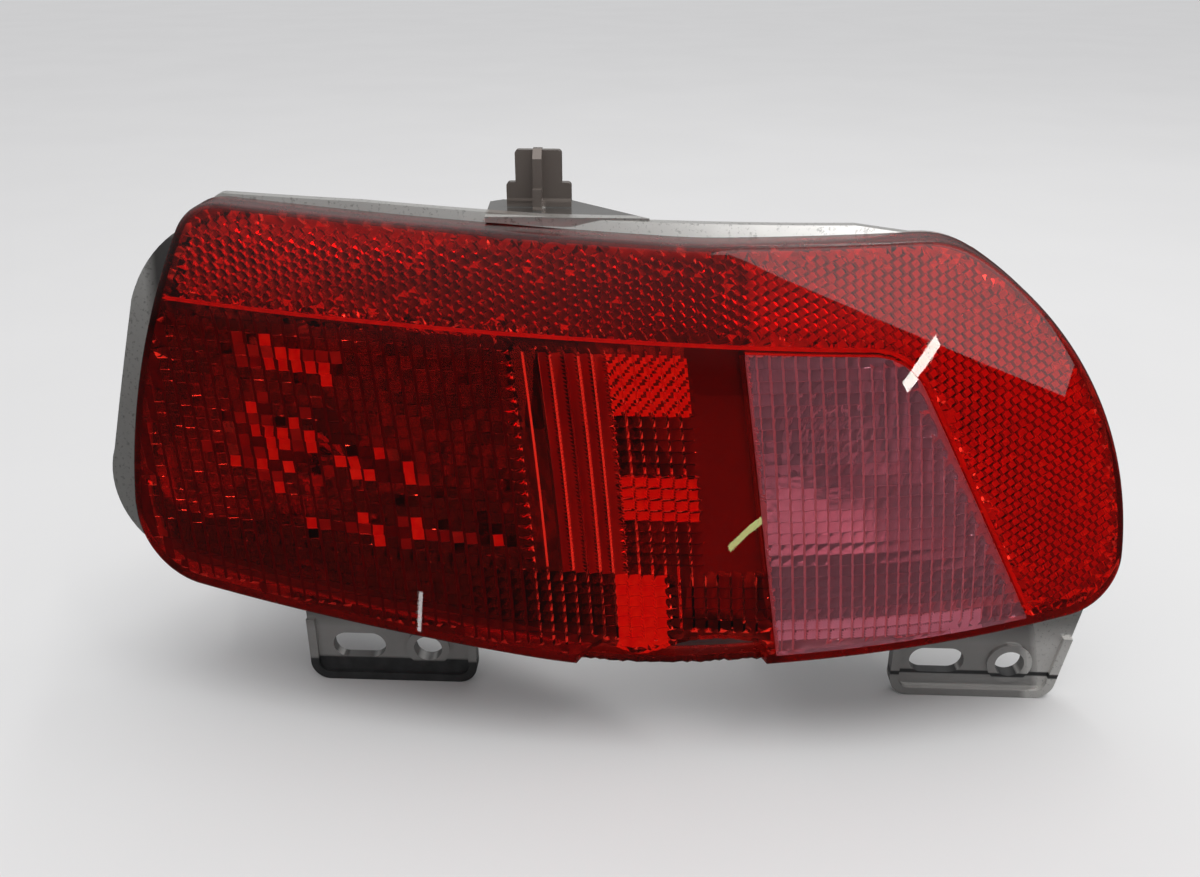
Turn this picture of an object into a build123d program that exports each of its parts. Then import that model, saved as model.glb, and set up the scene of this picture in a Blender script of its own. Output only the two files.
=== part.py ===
from build123d import *
import os

os.makedirs("parts", exist_ok=True)

# Rear bumper lamp: red lens with reflex band, fog chamber and reversing window on one moulded housing.
# Millimetres. X runs to the viewer's right, the lens faces -Y, Z is up as on the car.
# The shapes are drawn about the lens; at the end all moves so that the origin is the screw pattern.

# Lens face: two plan arcs that meet at apex_x, leaning back and slightly crowned
apex_x = 27.0
plan_radius_left = 560.0
plan_radius_right = 290.0
face_low_z = -80.0
face_high_z = 70.0
face_low_y = -8.8
face_high_y = 15.1

# Lens body
lens_wall = 2.6
skirt_wall = 2.0
skirt_depth = 8.0
reflex_extra = 1.6
rib_width = 1.0
rib_depth = 6.0

# Lamp zones inside the lens
zone_top_left_z = 28.0
zone_corner_x = 74.5
zone_corner_z = 20.8
zone_foot_x = 119.0
zone_foot_z = -62.6
zone_corner_r = 17.0
window_top_x = 34.0
window_foot_x = 45.6
window_gap = 0.12
window_land = 1.3
column_lean = 0.148
column_pitch = 3.1
column_groove = 0.5
column_depth = 0.6
block_left_x = 5.0
block_columns = 7
block_steps = (20.5, 5.0, -10.0, -23.5, -37.5)
block_depth = 1.3

# Housing
deck_wall = 2.8
bowl_wall = 2.2
bowl_margin = 4.6
fog_x = -77.5
fog_z = -28.0
fog_vertex_y = 46.0
fog_focal = 60.0
reversing_x = 72.0
reversing_z = -20.0
reversing_vertex_y = 46.0
reversing_focal = 24.0
divider_wall = 2.0
divider_clear = 0.4

# Brackets
bracket_face_y = 18.0
bracket_wall = 3.0
bracket_foot_z = -86.0
bracket_rim = 2.4
bracket_rim_h = 1.2
screw_spacing = 164.0
screw_left_x = -50.0
screw_z = -74.8
screw_hole_d = 8.0
slot_offset = 20.0
slot_length = 15.2
slot_height = 8.0
ring_d = 12.4
ring_h = 1.0

# Top locator
shelf_z = 49.4
shelf_wall = 2.2
locator_x = -16.4
locator_y = 29.0
locator_wall = 2.2
locator_low_w = 16.0
locator_low_h = 6.2
locator_top_w = 11.4
locator_h = 14.0
locator_rib_w = 2.2

# Bulb and twist-lock holder
collar_bore_d = 30.0
collar_wall = 2.6
collar_end_y = 56.0
neck_d = 29.2
flange_d = 42.0
flange_wall = 3.6
seal_wall = 2.4
seal_d = 38.0
socket_d = 15.6
cap_d = 15.0
cap_front_y = 45.0
cap_length = 18.0
glass_d = 25.6
glass_tip_y = 13.5
glass_wall = 0.8
pin_d = 2.0
pin_y = 52.0
socket_end_y = 67.0
blade_x = 4.4
blade_w = 6.3
blade_wall = 0.8
lug_w = 7.0
lug_out = 1.6


# The origin is the middle of the two screw holes, on the brackets' front face
shift = Pos(-(screw_left_x + screw_spacing / 2), -bracket_face_y, -screw_z)


def prism(sketch):
    """A front-view outline pulled through the whole depth."""
    return extrude(Plane.XZ * sketch, amount=120, both=True)


def band(front, back):
    """The space between two depths behind the lens face, measured along the plan radius."""
    low = (face_low_y, face_low_z)
    high = (face_high_y, face_high_z)
    front_edge = ThreePointArc((low[0] + front, low[1]), (front, 0), (high[0] + front, high[1]))
    back_edge = ThreePointArc((low[0] + back, low[1]), (back, 0), (high[0] + back, high[1]))
    top = Line(front_edge @ 1, back_edge @ 1)
    foot = Line(front_edge @ 0, back_edge @ 0)
    section = Plane.YZ.offset(apex_x) * make_face(front_edge + top + back_edge + foot)
    left = revolve(section, Axis((apex_x, plan_radius_left, 0), (0, 0, -1)), 20)
    right = revolve(section, Axis((apex_x, plan_radius_right, 0), (0, 0, 1)), 28)
    return left + right


def corner(sketch, point, radius):
    """Round the corner of an outline that lies nearest to a point."""
    nearest = min(sketch.vertices(), key=lambda v: (Vector(v.X, v.Y) - Vector(*point)).length)
    return fillet(nearest, radius)


def lens_outline():
    top_left = (-104.0, 51.2)
    top_dip = (22.0, 45.3)
    top_right = (81.8, 46.4)
    foot_right = (138.2, -52.6)
    foot_dip = (4.6, -63.3)
    foot_left = (-128.3, -49.0)
    edge = Polyline(top_left, top_dip, top_right)
    edge += ThreePointArc(top_right, (122.7, 8.4), foot_right)
    edge += Polyline(foot_right, foot_dip, foot_left)
    edge += ThreePointArc(foot_left, (-122.8, 2.7), top_left)
    shape = make_face(edge)
    rounds = (
        (top_left, 13),
        (top_dip, 200),
        (top_right, 26),
        (foot_right, 14),
        (foot_dip, 250),
        (foot_left, 20),
    )
    for point, radius in rounds:
        shape = corner(shape, point, radius)
    return shape


def lamp_zone(land):
    """The area below and left of the reflex band, drawn in by a land."""
    zone = make_face(
        Polyline(
            (-160, zone_top_left_z),
            (zone_corner_x, zone_corner_z),
            (zone_foot_x, zone_foot_z),
            (zone_foot_x, -100),
            (-160, -100),
            close=True,
        )
    )
    zone = corner(zone, (zone_corner_x, zone_corner_z), zone_corner_r)
    return offset(zone, -land) if land else zone


def right_of_border(shift):
    """Everything right of the window's left border."""
    slope = (window_foot_x - window_top_x) / 78.0
    top = window_top_x - slope * 80 + shift
    foot = window_foot_x + slope * 42 + shift
    return make_face(Polyline((top, 100), (200, 100), (200, -100), (foot, -100), close=True))


def column(x, width, z_high, z_low):
    """One leaning column of optics; x is its left edge at z = 0."""
    lean_high = -column_lean * z_high
    lean_low = -column_lean * z_low
    return make_face(
        Polyline(
            (x + lean_high, z_high),
            (x + width + lean_high, z_high),
            (x + width + lean_low, z_low),
            (x + lean_low, z_low),
            close=True,
        )
    )


def columns(first, last):
    """A row of flutes with a groove between each two."""
    count = int((last - first) / column_pitch)
    return Sketch() + [
        column(first + i * column_pitch, column_pitch - column_groove, 60, -80) for i in range(count)
    ]


outline = lens_outline()
lens_shell = band(0, lens_wall)
behind_lens = band(lens_wall - 0.2, lens_wall + column_depth)

# Reversing window, moulded into the red lens with a thin joint
window_outline = lamp_zone(window_land) & right_of_border(0) & offset(outline, -skirt_wall)
window_clear = offset(window_outline, -window_gap)
window_flutes = columns(window_top_x - 4, 112) & offset(window_outline, -1.0)
reversing_lens = lens_shell & prism(window_clear)
reversing_lens += behind_lens & prism(window_flutes)

# Red lens: face, skirt, thicker reflex band, boundary rib and fog flutes
inner = offset(outline, -skirt_wall)
red_lens = lens_shell & prism(outline - window_outline)
red_lens += band(0, skirt_depth) & prism(outline - inner)
reflex = (inner - lamp_zone(0)) & offset(outline, -skirt_wall - 0.8)
red_lens += band(lens_wall - 0.2, lens_wall + reflex_extra) & prism(reflex)
rib = (lamp_zone(0) - lamp_zone(rib_width)) & inner
red_lens += band(lens_wall - 0.2, rib_depth) & prism(rib)
fog_area = (lamp_zone(2.4) & offset(outline, -skirt_wall - 1.2)) - right_of_border(-4)
block_width = block_columns * column_pitch
block_area = column(block_left_x, block_width, block_steps[0], block_steps[-1])
fog_flutes = (columns(-134, 36) & fog_area) - offset(block_area, 0.6)
red_lens += behind_lens & prism(fog_flutes)
blocks = Sketch()
for high, low in zip(block_steps, block_steps[1:]):
    blocks += column(block_left_x, block_width - 0.6, high, low + 0.6)
red_lens += band(lens_wall - 0.2, lens_wall + block_depth) & prism(blocks)

# The chip that is broken out of the lower edge
chip_edge = Spline((-8.5, -64.5), (0.3, -55.2), (10.6, -57.5), (23.3, -53.2), (34.7, -52.4), (43.2, -55.0))
chip_close = Polyline((43.2, -55.0), (43.2, -72), (-8.5, -72), (-8.5, -64.5))
chip = band(-3, lens_wall + column_depth + 0.4) & prism(make_face(chip_edge + chip_close))
red_lens -= chip


def paraboloid(x, z, vertex_y, focal, reach):
    """The space in front of a reflector bowl."""
    rim_y = vertex_y - reach**2 / (4 * focal)
    curve = Bezier((0, vertex_y), (reach / 2, vertex_y), (reach, rim_y))
    rest = Polyline((reach, rim_y), (reach, -60), (0, -60), (0, vertex_y))
    profile = make_face(curve + rest)
    return Pos(x, 0, z) * revolve(profile, Axis.Y)


def y_disc(x, z, diameter, start, end):
    """A round bar along Y."""
    bar = Cylinder(diameter / 2, end - start, align=(Align.CENTER, Align.CENTER, Align.MIN))
    return Pos(x, start, z) * Rot(-90, 0, 0) * bar


# Housing: deck behind the skirt, left flange and raised top edge
left_ear = make_face(
    ThreePointArc((-105.3, 44.1), (-119.5, 34.3), (-126.5, 22.7))
    + Line((-126.5, 22.7), (-137.0, -19.5))
    + ThreePointArc((-137.0, -19.5), (-137.6, -34.0), (-125.5, -46.7))
    + Polyline((-125.5, -46.7), (-100, -40), (-95, 40), (-105.3, 44.1))
)
top_edge = make_face(
    Polyline(
        (-102.3, 47.6),
        (-98.6, 51.4),
        (-60, 51.2),
        (5, 48.7),
        (60, 48.0),
        (79, 45),
        (60, 38),
        (-95, 40),
        close=True,
    )
)
deck_outline = offset(outline, -0.4) + left_ear + top_edge
deck_outline = corner(deck_outline, (-98.6, 51.4), 4)
behind_deck = band(skirt_depth, 90)
housing = band(skirt_depth, skirt_depth + deck_wall) & prism(deck_outline)

# Reflector bowls, each a paraboloid cut by the walls of its chamber
chamber = lamp_zone(window_land + 0.8) & offset(outline, -bowl_margin)
fog_opening = chamber - right_of_border(-divider_wall / 2)
reversing_opening = chamber & right_of_border(divider_wall / 2)
bowls = (
    (fog_opening, fog_x, fog_z, fog_vertex_y, fog_focal, 130),
    (reversing_opening, reversing_x, reversing_z, reversing_vertex_y, reversing_focal, 90),
)
for opening, x, z, vertex_y, focal, reach in bowls:
    hull = paraboloid(x, z, vertex_y + bowl_wall, focal, reach) & prism(offset(opening, bowl_wall))
    housing += hull & behind_deck
    housing += y_disc(x, z, collar_bore_d + 2 * collar_wall, vertex_y - 14, collar_end_y)

# Divider that stands up to the lens between the two chambers
divider = (right_of_border(-divider_wall / 2) - right_of_border(divider_wall / 2)) & lamp_zone(2.6)
divider &= offset(outline, -skirt_wall - 9)
housing += band(lens_wall + column_depth + divider_clear, skirt_depth + 0.5) & prism(divider)

# Room that the lens takes in front of the deck
lens_room = band(-6, skirt_depth) & prism(offset(outline, 0.4))

# Brackets with rim, screw hole with raised ring, and slot
left_plate = make_face(
    Polyline((-84.4, -48), (-84.4, bracket_foot_z), (-36.2, bracket_foot_z), (-36.2, -52), close=True)
)
right_plate = make_face(
    Polyline(
        (81.4, -52),
        (81.4, bracket_foot_z),
        (126.6, bracket_foot_z),
        (131.4, -57),
        (131.4, -45),
        (104, -45),
        close=True,
    )
)
for plate in (left_plate, right_plate):
    foot_corners = plate.vertices().filter_by(lambda v: v.Y < bracket_foot_z + 0.1)
    plate = fillet(foot_corners, 5.5)
    lower = make_face(Polyline((-200, -66), (200, -66), (200, -100), (-200, -100), close=True))
    rim = (plate - offset(plate, -bracket_rim)) & lower
    slab = extrude(Plane.XZ.offset(-bracket_face_y) * plate, amount=-bracket_wall)
    slab += extrude(Plane.XZ.offset(-bracket_face_y) * rim, amount=bracket_rim_h)
    housing += slab - lens_room

for x in (screw_left_x, screw_left_x + screw_spacing):
    housing += y_disc(x, screw_z, ring_d, bracket_face_y - ring_h, bracket_face_y + 0.5)
    housing -= y_disc(x, screw_z, screw_hole_d, bracket_face_y - 9, bracket_face_y + 9)
    slot = Pos(x - slot_offset, screw_z) * SlotOverall(slot_length, slot_height)
    housing -= extrude(Plane.XZ.offset(-bracket_face_y - 9) * slot, amount=18)

# Gussets behind the brackets
screw_right_x = screw_left_x + screw_spacing
for x in (screw_left_x - 31, screw_left_x - 1.5, screw_right_x - 29, screw_right_x + 1):
    side = make_face(Polyline((20.5, -64), (20.5, -53.2), (29.0, -53.2), close=True))
    housing += Pos(x, 0, 0) * extrude(Plane.YZ * side, amount=1.1, both=True)

# Shelf and T locator on top
shelf = make_face(
    Polyline((-28.5, 18.5), (11.0, 18.5), (-9.0, 38.0), (-26.5, 38.0), (-29.5, 35.5), close=True)
)
housing += Pos(0, 0, shelf_z - shelf_wall) * extrude(shelf, amount=shelf_wall) - lens_room
low_half = locator_low_w / 2
top_half = locator_top_w / 2
tee = make_face(
    Polyline(
        (-low_half, -1),
        (-low_half, locator_low_h),
        (-top_half, locator_low_h),
        (-top_half, locator_h),
        (top_half, locator_h),
        (top_half, locator_low_h),
        (low_half, locator_low_h),
        (low_half, -1),
        close=True,
    )
)

def outer_corner(v):
    on_stem = abs(v.X) < top_half + 0.1 and v.Y < locator_h - 0.1
    return v.Y > 0 and not on_stem


locator_place = Pos(locator_x, locator_y, shelf_z)
tee = fillet(tee.vertices().filter_by(outer_corner), 0.9)
housing += locator_place * extrude(Plane.XZ * tee, amount=-locator_wall)
rib_side = make_face(
    Polyline(
        (0.5, -1),
        (-5.0, -1),
        (-5.0, 5.4),
        (-3.2, 5.4),
        (-3.2, 12.4),
        (-1.4, 14.6),
        (0.5, 14.6),
        close=True,
    )
)
housing += locator_place * extrude(Plane.YZ * rib_side, amount=locator_rib_w / 2, both=True)

# Hollow out the bowls last, so that no wall or plate reaches into them
for opening, x, z, vertex_y, focal, reach in bowls:
    housing -= paraboloid(x, z, vertex_y, focal, reach) & prism(opening) & band(skirt_depth - 0.1, 90)
    housing -= y_disc(x, z, collar_bore_d, vertex_y - 20, collar_end_y + 1)

# Two pockets in each collar take the holder's lugs
for opening, x, z, vertex_y, focal, reach in bowls:
    for side in (-1, 1):
        pocket = Box(lug_out + 0.6, 5.0, lug_w + 0.8)
        housing -= Pos(x + side * (collar_bore_d / 2 + lug_out / 2 - 0.2), collar_end_y - 4.0, z) * pocket


def bulb_and_holder(name, x, z):
    """A single-filament bayonet bulb in its twist-lock holder, on an axis along Y."""
    place = shift * Pos(x, 0, z)
    cap_end_y = cap_front_y + cap_length

    # Glass: a neck that flares to a near-round bulb, blown hollow
    def glass_profile(wall):
        r = glass_d / 2 - wall
        neck = cap_d / 2 - 1.4 - wall
        waist_y = cap_front_y - 5.0
        tip = glass_tip_y + wall
        centre_y = tip + r
        curve = ThreePointArc((0, tip), (r * 0.7071, centre_y - r * 0.7071), (r, centre_y))
        flank = Spline((r, centre_y), (neck, waist_y), tangents=((0, 1), (0, 1)))
        foot_y = cap_front_y + 2.0 - wall
        close = Polyline((neck, waist_y), (neck, foot_y), (0, foot_y), (0, tip))
        return make_face(curve + flank + close)

    glass = revolve(glass_profile(0), Axis.Y) - revolve(glass_profile(glass_wall), Axis.Y)
    export_step(place * glass, f"parts/{name}_bulb_glass.step")

    # Cap: thin shell with two bayonet pins
    shell = y_disc(0, 0, cap_d, cap_front_y, cap_end_y)
    shell -= y_disc(0, 0, cap_d - 1.0, cap_front_y + 2.0, cap_end_y + 1)
    shell -= y_disc(0, 0, cap_d - 2.8, cap_front_y - 1, cap_front_y + 3)
    pin = Pos(0, pin_y, 0) * Cylinder(pin_d / 2, cap_d + 2.4)
    shell += pin - y_disc(0, 0, cap_d - 0.6, cap_front_y, cap_end_y)
    export_step(place * shell, f"parts/{name}_bulb_cap.step")

    # Insulator plug with its centre contact
    plug = y_disc(0, 0, cap_d - 1.0, cap_end_y - 4.0, cap_end_y)
    plug += y_disc(0, 0, 9.0, cap_end_y, cap_end_y + 0.8)
    plug += y_disc(0, 0, 5.0, cap_end_y + 0.8, cap_end_y + 1.6)
    export_step(place * plug, f"parts/{name}_bulb_insulator.step")

    # Filament on two lead wires that rise from the glass foot
    light_y = glass_tip_y + glass_d / 2 + 1.0
    foot_y = cap_front_y + 2.0 - glass_wall
    filament = Pos(0, light_y, 0) * Rot(0, 90, 0) * Cylinder(0.6, 7.0)
    for side in (-1, 1):
        filament += y_disc(side * 3.2, 0, 0.8, light_y, foot_y)
    filament += y_disc(0, 0, 8.0, foot_y - 2.0, foot_y)
    export_step(place * filament, f"parts/{name}_bulb_filament.step")

    # Holder: neck with two lugs, flange with grips, connector shroud
    flange_y = collar_end_y + seal_wall
    back_y = flange_y + flange_wall
    holder = y_disc(0, 0, neck_d, cap_front_y + 1.0, flange_y + 0.5)
    for side in (-1, 1):
        lug = Box(lug_out + 1.0, 3.4, lug_w)
        holder += Pos(side * (neck_d / 2 + lug_out / 2 - 0.5), collar_end_y - 4.0, 0) * lug
    holder += y_disc(0, 0, flange_d, flange_y, back_y)
    holder += y_disc(0, 0, 30.0, back_y - 0.5, back_y + 8.0)
    for side in (-1, 1):
        holder += Pos(0, back_y + 4.0, side * 17.0) * Box(4.0, 9.0, 8.0)
    shroud = Pos(0, back_y + 14.0, 0) * Box(22.0, 13.0, 14.0)
    shroud = fillet(shroud.edges().filter_by(Axis.Y), 1.5)
    holder += shroud
    holder -= Pos(0, back_y + 16.5, 0) * Box(19.0, 12.0, 11.0)
    holder -= y_disc(0, 0, socket_d, cap_front_y, socket_end_y)
    for side in (-1, 1):
        track_end = pin_y + pin_d / 2 + 0.2
        track = Box(pin_d + 0.8, track_end - cap_front_y, 2.4)
        holder -= Pos(0, (cap_front_y + track_end) / 2, side * (socket_d / 2 + 0.6)) * track
        blade_slot = Box(blade_w + 0.1, 30.0, blade_wall + 0.1)
        holder -= Pos(side * blade_x, socket_end_y + 10.0, 0) * blade_slot
    groove_end = socket_end_y - cap_front_y
    holder -= Pos(-cap_d / 2 - 0.4, cap_front_y + groove_end / 2, 0) * Box(1.0, groove_end, 5.2)
    export_step(place * holder, f"parts/{name}_holder.step")

    # Seal ring under the flange
    seal = y_disc(0, 0, seal_d, collar_end_y, flange_y)
    seal -= y_disc(0, 0, neck_d + 0.4, collar_end_y - 1, flange_y + 1)
    export_step(place * seal, f"parts/{name}_holder_seal.step")

    # Terminals: a centre contact and a side spring, each with its blade
    seat_y = cap_end_y + 1.6
    blade_start = socket_end_y - 0.8
    blade_end = socket_end_y + 14.0
    blade = Pos(0, (blade_start + blade_end) / 2, 0) * Box(blade_w, blade_end - blade_start, blade_wall)
    spring_length = socket_end_y - cap_front_y - 6
    centre = Pos(1.4, seat_y + 0.4, 0) * Box(5.0, 0.8, 4.0)
    centre += Pos(3.5, (seat_y + socket_end_y) / 2, 0) * Box(0.8, socket_end_y - seat_y, 4.0)
    centre += Pos(blade_x, 0, 0) * blade
    spring = Pos(-cap_d / 2 - 0.35, socket_end_y - spring_length / 2, 0) * Box(0.7, spring_length, 5.0)
    spring += Pos(-blade_x - 1.0, socket_end_y - 0.4, 0) * Box(7.0, 0.8, 4.0)
    spring += Pos(-blade_x, 0, 0) * blade
    export_step(place * Compound(children=[centre, spring]), f"parts/{name}_holder_terminals.step")


export_step(shift * housing, "parts/housing.step")
export_step(shift * red_lens, "parts/red_lens.step")
export_step(shift * reversing_lens, "parts/reversing_lens.step")
for name, x, z in (("fog", fog_x, fog_z), ("reversing", reversing_x, reversing_z)):
    bulb_and_holder(name, x, z)
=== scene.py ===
"""Rear bumper lamp: lens optics, looks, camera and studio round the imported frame.

The lens is drawn in millimetres about its own origin, and SHIFT takes it to the row's frame. Its optics stand
along the lamp's own axis, which is turned from the mounting frame: u runs across that axis and d along it.
"""

import math

import bmesh
import bpy
import numpy as np
from mathutils import Matrix, Vector
from mathutils.geometry import delaunay_2d_cdt
from mathutils.kdtree import KDTree


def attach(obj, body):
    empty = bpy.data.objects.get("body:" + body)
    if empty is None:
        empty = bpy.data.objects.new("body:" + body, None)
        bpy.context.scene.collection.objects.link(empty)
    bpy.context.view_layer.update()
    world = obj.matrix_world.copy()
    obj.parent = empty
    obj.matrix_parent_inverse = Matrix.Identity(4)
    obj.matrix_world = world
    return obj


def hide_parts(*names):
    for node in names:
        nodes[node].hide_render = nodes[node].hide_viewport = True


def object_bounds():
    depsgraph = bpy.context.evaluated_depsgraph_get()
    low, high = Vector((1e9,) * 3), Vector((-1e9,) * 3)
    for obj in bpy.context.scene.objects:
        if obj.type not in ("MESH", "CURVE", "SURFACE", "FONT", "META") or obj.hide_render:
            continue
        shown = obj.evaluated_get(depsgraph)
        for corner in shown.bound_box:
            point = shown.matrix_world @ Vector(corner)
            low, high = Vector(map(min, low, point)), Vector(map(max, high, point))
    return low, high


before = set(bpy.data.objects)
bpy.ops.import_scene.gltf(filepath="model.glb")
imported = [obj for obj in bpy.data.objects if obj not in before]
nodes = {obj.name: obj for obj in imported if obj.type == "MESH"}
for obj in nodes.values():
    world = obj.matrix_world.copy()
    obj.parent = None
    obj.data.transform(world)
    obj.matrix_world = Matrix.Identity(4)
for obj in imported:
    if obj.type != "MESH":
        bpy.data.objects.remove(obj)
cad_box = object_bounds()
scene = bpy.context.scene
scene.view_settings.view_transform = "Standard"

# Camera, in metres, and the photograph's frame, in pixels
CAM = Vector((-0.0210, -0.2600, 0.1852))
AZIMUTH = math.radians(2.6)
ELEVATION = math.radians(24.5)
FOCAL_PX = 1100.0
FRAME_W = 1200.0
FRAME_H = 877.0

# Lens face: two plan arcs that meet at the apex, and a profile arc through three points (y, z)
SHIFT = np.array((-32.0, -18.0, 74.8))
APEX_X = 27.0
PLAN_LEFT = 560.0
PLAN_RIGHT = 290.0
PROFILE = ((-8.8, -80.0), (0.0, 0.0), (15.1, 70.0))
WALL = 2.6
SKIRT = 2.0
SKIRT_END = 7.95

# Lens outline, clockwise from the top left, with the fillet after each run
TOP_LEFT = (-104.0, 51.2)
TOP_DIP = (22.0, 45.3)
TOP_RIGHT = (81.8, 46.4)
RIGHT_VIA = (122.7, 8.4)
FOOT_RIGHT = (138.2, -52.6)
FOOT_DIP = (4.6, -63.3)
FOOT_LEFT = (-128.3, -49.0)
LEFT_VIA = (-122.8, 2.7)
FILLETS = (200.0, 26.0, 14.0, 250.0, 20.0, 13.0)
OUTLINE_STEP = 1.2

# Boundary between the reflex band and the lamp zones, from the left to the foot
BORDER_LEFT = (-160.0, 28.0)
BORDER_CORNER = (74.5, 20.8)
BORDER_FOOT = (119.0, -62.6)
BORDER_R = 17.0
BORDER_STEP = 1.0

# Reversing window: its leaning left side, and the land and gap round it
WINDOW_TOP = (34.0, 20.0)
WINDOW_RUN, WINDOW_RISE = 11.6, 78.0
WINDOW_LAND = 1.3
WINDOW_FOOT = 0.6
WINDOW_GAP = 0.12

# Chip broken out of the lower edge, from right to left
CHIP_MARKS = np.array(
    ((43.2, -64.0), (43.2, -55.0), (34.7, -52.4), (23.3, -53.2), (10.6, -57.5), (0.3, -55.2), (-8.5, -64.5))
)
CHIP_DEPTH = 3.6
CHIP_STEP = 0.8

# Optics
TURN = math.radians(33.8)
COS = math.cos(TURN)
SIN = math.sin(TURN)
HEX_PITCH = 2.34
HEX_TILT = math.radians(-2.5)
CELL_W = 2.68
CELL_H = 2.93
CELL_FILL = 0.985
CELL_CLEAR = 0.12
REFLEX_LEAST = 1.3
STAIR = 0.6
LEAST = 1.7
BEAD = 1.2
GROUND_STEP = 1.0
FACE_STEP = 3.0
FINE = 0.3
BELOW_ALL = -120.0

# Fog and window cells are counted in columns from the left and rows from the top
FIRST_U = -140.0 * COS
ROWS_TOP = 28.4
ROWS_FOOT = -66.0
BLOCKS_ROW, LOW_ROW, PILLOW_END_ROW = 3, 22, 29
BLOCKS_TOP = ROWS_TOP - BLOCKS_ROW * CELL_H
LOW_BAND = BLOCKS_TOP - (LOW_ROW - BLOCKS_ROW) * CELL_H
FLUTES, BLOCK, BLOCK_END, LAST = 38, 45, 51, 60
HATCH_ROWS = (3, 8)
RIDGE_ROWS = (13, 17)
BAR_ROWS = (26, 28)
BAR_END = 75

# Places where the fog cells tip most: u, z, and how far the place reaches each way
SPARKS = (
    (-64.9, -8.9, 8.0, 9.0),
    (-58.0, 13.5, 10.0, 4.0),
    (-44.0, -12.0, 8.0, 4.5),
    (-42.0, -28.5, 18.0, 2.5),
)

# Material slots of the red lens and of the window; slot 0 is the clear acrylic. On the lens, slot 1 is
# painted shade on the edge, 2 painted glints, 3 painted shade and 4 painted glow; on the window, slot 2 is a
# painted reflection
EDGE_LOOK, PAINTED_GLINT_LOOK, PAINTED_SHADE_LOOK, PAINTED_GLOW_LOOK = 1, 2, 3, 4
STRIPE_LOOK, BAR_LOOK = 1, 2

rng = np.random.default_rng(7)


def arc_centre(p, q, r):
    """Centre and radius of the circle through three points."""
    (ax, ay), (bx, by), (cx, cy) = p, q, r
    d = 2 * (ax * (by - cy) + bx * (cy - ay) + cx * (ay - by))
    a2, b2, c2 = ax * ax + ay * ay, bx * bx + by * by, cx * cx + cy * cy
    ux = (a2 * (by - cy) + b2 * (cy - ay) + c2 * (ay - by)) / d
    uy = (a2 * (cx - bx) + b2 * (ax - cx) + c2 * (bx - ax)) / d
    return ux, uy, math.hypot(ax - ux, ay - uy)


PROFILE_Y, PROFILE_Z, PROFILE_R = arc_centre(*PROFILE)


def face_y(x, z, t=0.0):
    """Depth of the lens face, or of the surface t behind it."""
    x, z = np.asarray(x, float), np.asarray(z, float)
    plan = np.where(x < APEX_X, PLAN_LEFT, PLAN_RIGHT)
    crown = PROFILE_Y - np.sqrt(PROFILE_R**2 - (z - PROFILE_Z) ** 2)
    return plan - np.sqrt((plan - crown - t) ** 2 - (x - APEX_X) ** 2)


def on_lens(xz, t):
    """Points in 3-D for outline points at depth t."""
    xz = np.asarray(xz, float)
    return np.column_stack((xz[:, 0], face_y(xz[:, 0], xz[:, 1], t), xz[:, 1]))


def turned(points):
    """Points seen along the lamp axis: columns u, z and d."""
    return np.column_stack(
        (points[:, 0] * COS + points[:, 1] * SIN, points[:, 2], -points[:, 0] * SIN + points[:, 1] * COS)
    )


def unturned(u, z, d):
    """Back from the lamp axis to the lens frame."""
    return np.column_stack((u * COS - d * SIN, u * SIN + d * COS, z))


def face_depth(u, z, t=0.0):
    """Depth along the lamp axis of the lens face, or of the surface t behind it, found by Newton's method."""
    x = u * COS
    for _ in range(12):
        y = face_y(x, z, t)
        plan = np.where(x < APEX_X, PLAN_LEFT, PLAN_RIGHT)
        slope = (x - APEX_X) / (plan - y)
        x = x - (x * COS + y * SIN - u) / (COS + slope * SIN)
    return -x * SIN + face_y(x, z, t) * COS


def line(p, q, step=0.1):
    """Points along a straight run."""
    count = max(2, int(math.dist(p, q) / step))
    return np.linspace(p, q, count)


def arc(p, via, q, step=0.1):
    """Points along the arc through three points."""
    cx, cy, r = arc_centre(p, via, q)
    a = math.atan2(p[1] - cy, p[0] - cx)
    m = math.atan2(via[1] - cy, via[0] - cx)
    b = math.atan2(q[1] - cy, q[0] - cx)
    m = a + (m - a + math.pi) % (2 * math.pi) - math.pi
    b = m + (b - m + math.pi) % (2 * math.pi) - math.pi
    angles = np.linspace(a, b, max(3, int(abs(b - a) * r / step)))
    return np.column_stack((cx + r * np.cos(angles), cy + r * np.sin(angles)))


def rounded(first, second, r):
    """Trim two runs that meet at a corner and give the fillet between them."""
    d1 = first[-1] - first[-4]
    d2 = second[3] - second[0]
    side = 1.0 if d1[0] * d2[1] - d1[1] * d2[0] > 0 else -1.0
    for i in range(len(first) - 2, 1, -2):
        d = first[i + 1] - first[i - 1]
        n = np.array((-d[1], d[0])) / np.hypot(*d) * side
        centre = first[i] + n * r
        gaps = np.hypot(*(second - centre).T)
        if gaps.min() >= r:
            break
    j = int(gaps.argmin())
    a = math.atan2(*(first[i] - centre)[::-1])
    b = math.atan2(*(second[j] - centre)[::-1])
    b = a + (b - a + math.pi) % (2 * math.pi) - math.pi
    angles = np.linspace(a, b, max(3, int(abs(b - a) * r / 0.1)))
    bend = centre + r * np.column_stack((np.cos(angles), np.sin(angles)))
    return i, j, bend


def chain(runs, radii):
    """Runs joined by fillets; closed when there is a radius for each run."""
    count = len(runs)
    start = [0] * count
    stop = [len(run) for run in runs]
    bends = {}
    for k, r in enumerate(radii):
        i, j, bend = rounded(runs[k], runs[(k + 1) % count], r)
        stop[k] = i
        start[(k + 1) % count] = j
        bends[k] = bend
    out = []
    for k in range(count):
        out.append(runs[k][start[k] : stop[k]])
        if k in bends:
            out.append(bends[k])
    return np.vstack(out)


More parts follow.
